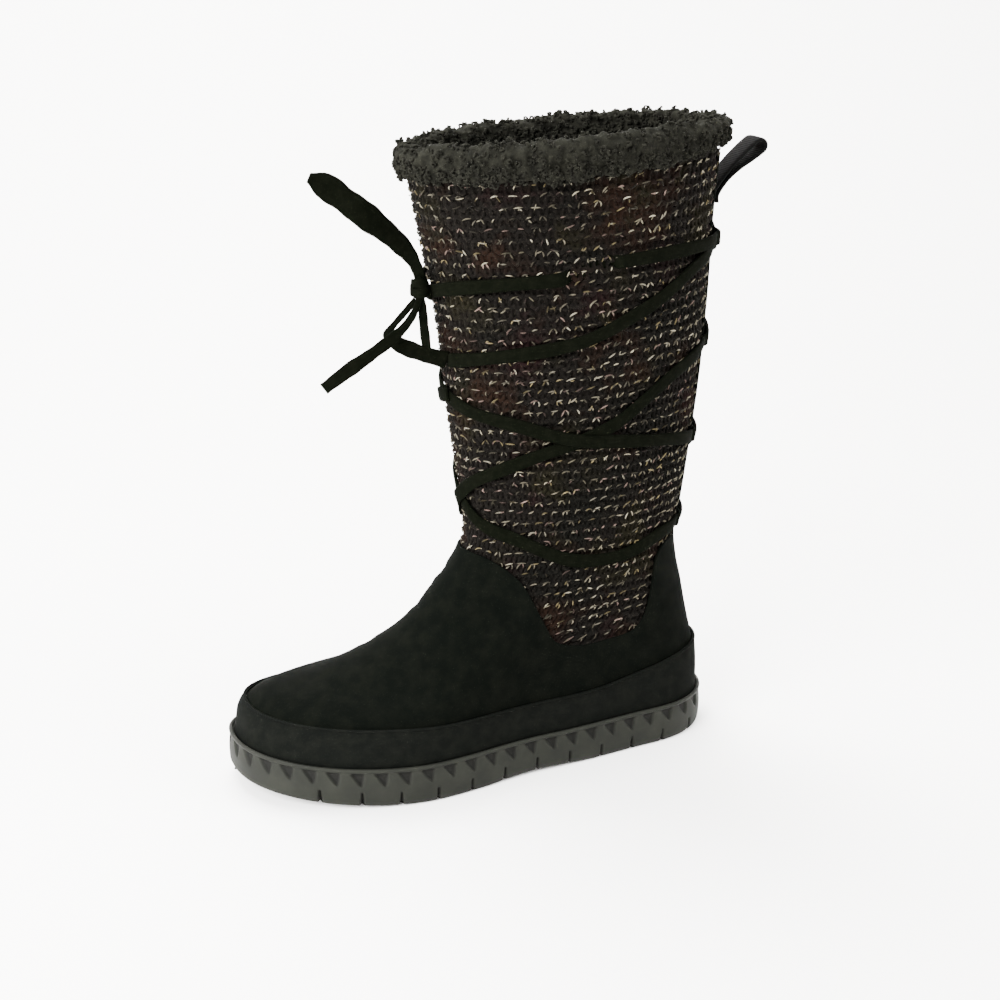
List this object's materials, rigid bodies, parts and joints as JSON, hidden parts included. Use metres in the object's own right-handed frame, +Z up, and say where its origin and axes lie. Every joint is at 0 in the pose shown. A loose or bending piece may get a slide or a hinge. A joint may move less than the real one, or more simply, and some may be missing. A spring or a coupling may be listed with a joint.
{
  "type": "mukluk boot",
  "caption": "Left pull-on winter boot: knitted shaft with wound flat lace and curly pile cuff, suede foot and rand, lugged rubber sole.",
  "frame": {"origin": "on the ground at the middle of the flat tread under the heel", "axes": "+Z up along the shaft, -X towards the toe, -Y towards the outer side of the left foot"},
  "size_m": [0.3079, 0.1231, 0.3538],
  "materials": {
    "sole_rubber": "matt moulded rubber, dark grey",
    "footbed_felt": "felted fabric, charcoal",
    "knit": "chunky flecked knit, charcoal with cream flecks",
    "suede": "black suede",
    "rand_suede": "black suede with a raised piped edge",
    "webbing": "woven black tape",
    "pile": "curly pile, dark charcoal",
    "lace": "flat black suede lace"
  },
  "bodies": {
    "root": {"outsole": "sole_rubber", "insole": "footbed_felt", "upper": "knit", "foot_shell": "suede", "rand": "rand_suede", "backstay": "suede", "pull_loop": "webbing", "fur_cuff": "pile", "lace_keeper_1": "webbing", "lace_keeper_2": "webbing", "lace_keeper_3": "webbing", "lace_keeper_4": "webbing", "lace_wraps": "lace", "lace_knot": "lace", "lace_loop": "lace", "lace_end_up": "lace", "lace_end_down": "lace"}
  },
  "joints": []
}
